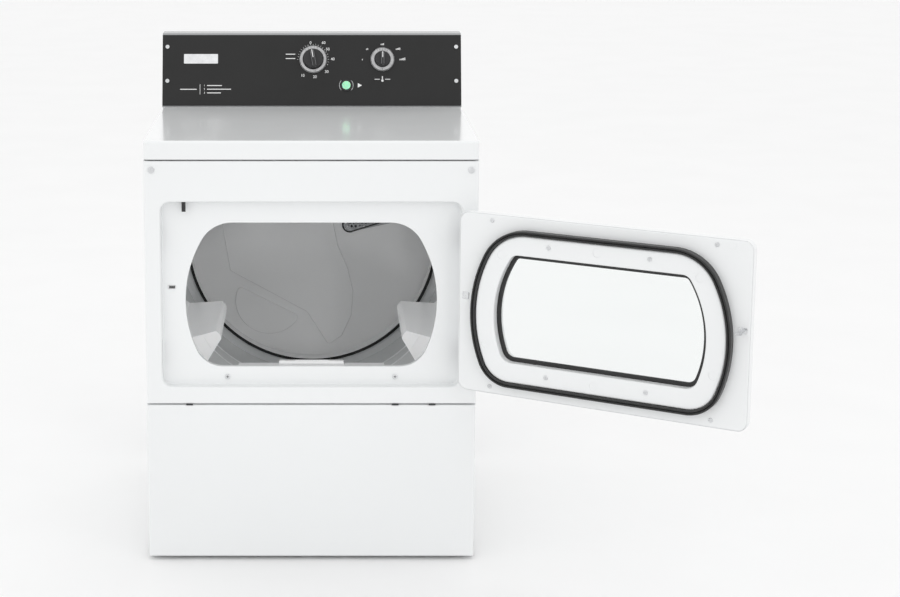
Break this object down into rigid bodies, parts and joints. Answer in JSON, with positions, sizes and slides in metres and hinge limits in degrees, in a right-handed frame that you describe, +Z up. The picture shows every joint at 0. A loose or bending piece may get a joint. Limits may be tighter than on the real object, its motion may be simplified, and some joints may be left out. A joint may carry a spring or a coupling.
{
  "type": "clothes dryer",
  "caption": "Free-standing front-loading tumble dryer with a rear control console and a wide glazed side-swinging door, standing open.",
  "frame": {"origin": "on the floor, at the centre of the cabinet's footprint", "axes": "+Z up, -Y out of the front, +X to the right of a person in front"},
  "size_m": [1.1822, 1.0552, 1.063],
  "materials": {
    "white_enamel": "smooth white enamel",
    "console_grey": "satin light grey paint",
    "fascia_charcoal": "fine-grained charcoal",
    "bulkhead_grey": "grey-white enamel",
    "galvanised_steel": "galvanised sheet",
    "grille_steel": "perforated sheet",
    "grille_plastic": "moulded light grey plastic",
    "filter_plastic": "moulded off-white plastic",
    "felt_black": "black felt",
    "baffle_plastic": "translucent white plastic",
    "roller_rubber": "rubber tyre",
    "belt_rubber": "ribbed rubber belt",
    "bright_steel": "zinc-plated steel",
    "motor_casting": "die-cast and painted",
    "pulley_plastic": "moulded plastic",
    "duct_aluminium": "drawn tube",
    "element_wire": "heat-darkened",
    "switch_plastic": "moulded plastic",
    "bezel_black": "black plastic",
    "button_green": "pale green translucent plastic",
    "knob_black": "black plastic",
    "screw_steel": "plated",
    "catch_plastic": "moulded plastic",
    "hinge_steel": "zinc-plated steel",
    "window_glass": "clear toughened glass",
    "seal_black": "black rubber",
    "foot_black": "black rubber pad"
  },
  "bodies": {
    "cabinet": {"side_panel_left": "white_enamel", "side_panel_right": "white_enamel", "top_panel": "white_enamel", "front_panel": "white_enamel", "toe_panel": "white_enamel", "console_shell": "console_grey", "base_pan": "galvanised_steel", "rear_panel": "galvanised_steel", "console_back_cover": "galvanised_steel", "heater_box": "galvanised_steel", "terminal_cover": "galvanised_steel", "console_face": "fascia_charcoal", "rear_bulkhead": "bulkhead_grey", "front_bulkhead": "bulkhead_grey", "inlet_grille": "grille_steel", "outlet_grille": "grille_plastic", "lint_duct": "grille_plastic", "blower_housing": "grille_plastic", "drum_seals": "felt_black", "roller_shafts": "bright_steel", "drive_belt": "belt_rubber", "motor": "motor_casting", "exhaust_duct": "duct_aluminium", "heater_element": "element_wire", "terminal_block": "switch_plastic", "timer": "switch_plastic", "temperature_switch": "switch_plastic", "start_switch": "bezel_black", "cabinet_screws": "screw_steel", "door_catch": "catch_plastic", "door_switch": "switch_plastic", "cabinet_hinge_leaves": "hinge_steel"},
    "door": {"door_outer_panel": "white_enamel", "door_inner_panel": "white_enamel", "door_window_frame": "white_enamel", "door_glass": "window_glass", "door_glass_seal": "seal_black", "door_gasket": "seal_black", "door_hinge_leaves": "hinge_steel", "door_strike": "bright_steel", "door_screws": "screw_steel"},
    "drum": {"drum_shell": "white_enamel", "baffle_top": "baffle_plastic", "baffle_left": "baffle_plastic", "baffle_right": "baffle_plastic"},
    "roller_left": {"drum_roller_left": "roller_rubber"},
    "roller_right": {"drum_roller_right": "roller_rubber"},
    "rotor": {"motor_shaft": "bright_steel", "blower_wheel": "grille_plastic"},
    "idler": {"idler_arm": "galvanised_steel"},
    "idler_wheel": {"idler_pulley": "pulley_plastic"},
    "filter": {"lint_filter": "filter_plastic"},
    "timer_dial": {"timer_knob": "knob_black"},
    "temperature_dial": {"temperature_knob": "knob_black"},
    "start_key": {"start_button": "button_green"},
    "switch_lever": {"door_switch_lever": "bezel_black"},
    "foot_fl": {"foot_front_left": "foot_black"},
    "foot_fr": {"foot_front_right": "foot_black"},
    "foot_rl": {"foot_rear_left": "foot_black"},
    "foot_rr": {"foot_rear_right": "foot_black"}
  },
  "joints": [
    {"name": "door_hinge", "type": "hinge", "parent": "cabinet", "child": "door", "pos_m": [0.3095, -0.349, 0.5705], "axis": [0, 0, 1], "range_deg": [-150, 0]},
    {"name": "drum_spin", "type": "hinge", "parent": "cabinet", "child": "drum", "pos_m": [0, 0, 0.57], "axis": [0, 1, 0], "continuous": true},
    {"name": "roller_left_spin", "type": "hinge", "parent": "cabinet", "child": "roller_left", "pos_m": [-0.21967, 0.2375, 0.28884], "axis": [0, 1, 0], "continuous": true},
    {"name": "roller_right_spin", "type": "hinge", "parent": "cabinet", "child": "roller_right", "pos_m": [0.21967, 0.2375, 0.28884], "axis": [0, 1, 0], "continuous": true},
    {"name": "motor_spin", "type": "hinge", "parent": "cabinet", "child": "rotor", "pos_m": [0, -0.12, 0.135], "axis": [0, 1, 0], "continuous": true},
    {"name": "idler_swing", "type": "hinge", "parent": "cabinet", "child": "idler", "pos_m": [-0.075, 0.0185, 0.055], "axis": [0, 1, 0], "range_deg": [0, 6], "stiffness_Nm_per_rad": 8, "springref_deg": -6.88, "deforming": ["drive_belt"]},
    {"name": "idler_spin", "type": "hinge", "parent": "idler", "child": "idler_wheel", "pos_m": [-0.13, -0.005, 0.11], "axis": [0, 1, 0], "continuous": true},
    {"name": "filter_slide", "type": "slide", "parent": "cabinet", "child": "filter", "axis": [0, 0, 1], "range_m": [0, 0.215]},
    {"name": "timer_turn", "type": "hinge", "parent": "cabinet", "child": "timer_dial", "pos_m": [0.003, 0.20005, 1.00505], "axis": [0, -0.9649, 0.2626], "continuous": true},
    {"name": "temperature_turn", "type": "hinge", "parent": "cabinet", "child": "temperature_dial", "pos_m": [0.162, 0.20005, 1.00505], "axis": [0, -0.9649, 0.2626], "range_deg": [-90, 90]},
    {"name": "start_press", "type": "slide", "parent": "cabinet", "child": "start_key", "axis": [0, 0.9649, -0.2626], "range_m": [0, 0.003], "stiffness_N_per_m": 600, "springref_m": -0.001},
    {"name": "switch_lever_swing", "type": "hinge", "parent": "cabinet", "child": "switch_lever", "pos_m": [-0.262, -0.318, 0.7806], "axis": [1, 0, 0], "range_deg": [0, 12], "stiffness_Nm_per_rad": 0.05, "springref_deg": -5.73},
    {"name": "foot_fl_screw", "type": "slide", "parent": "cabinet", "child": "foot_fl", "axis": [0, 0, 1], "range_m": [-0.02, 0]},
    {"name": "foot_fr_screw", "type": "slide", "parent": "cabinet", "child": "foot_fr", "axis": [0, 0, 1], "range_m": [-0.02, 0]},
    {"name": "foot_rl_screw", "type": "slide", "parent": "cabinet", "child": "foot_rl", "axis": [0, 0, 1], "range_m": [-0.02, 0]},
    {"name": "foot_rr_screw", "type": "slide", "parent": "cabinet", "child": "foot_rr", "axis": [0, 0, 1], "range_m": [-0.02, 0]}
  ],
  "couplings": [
    {"joint": "roller_left_spin", "follows": "drum_spin", "ratio": -8.3816},
    {"joint": "roller_right_spin", "follows": "drum_spin", "ratio": -8.3816},
    {"joint": "motor_spin", "follows": "drum_spin", "ratio": 23.05},
    {"joint": "idler_spin", "follows": "drum_spin", "ratio": 9.4513}
  ]
}
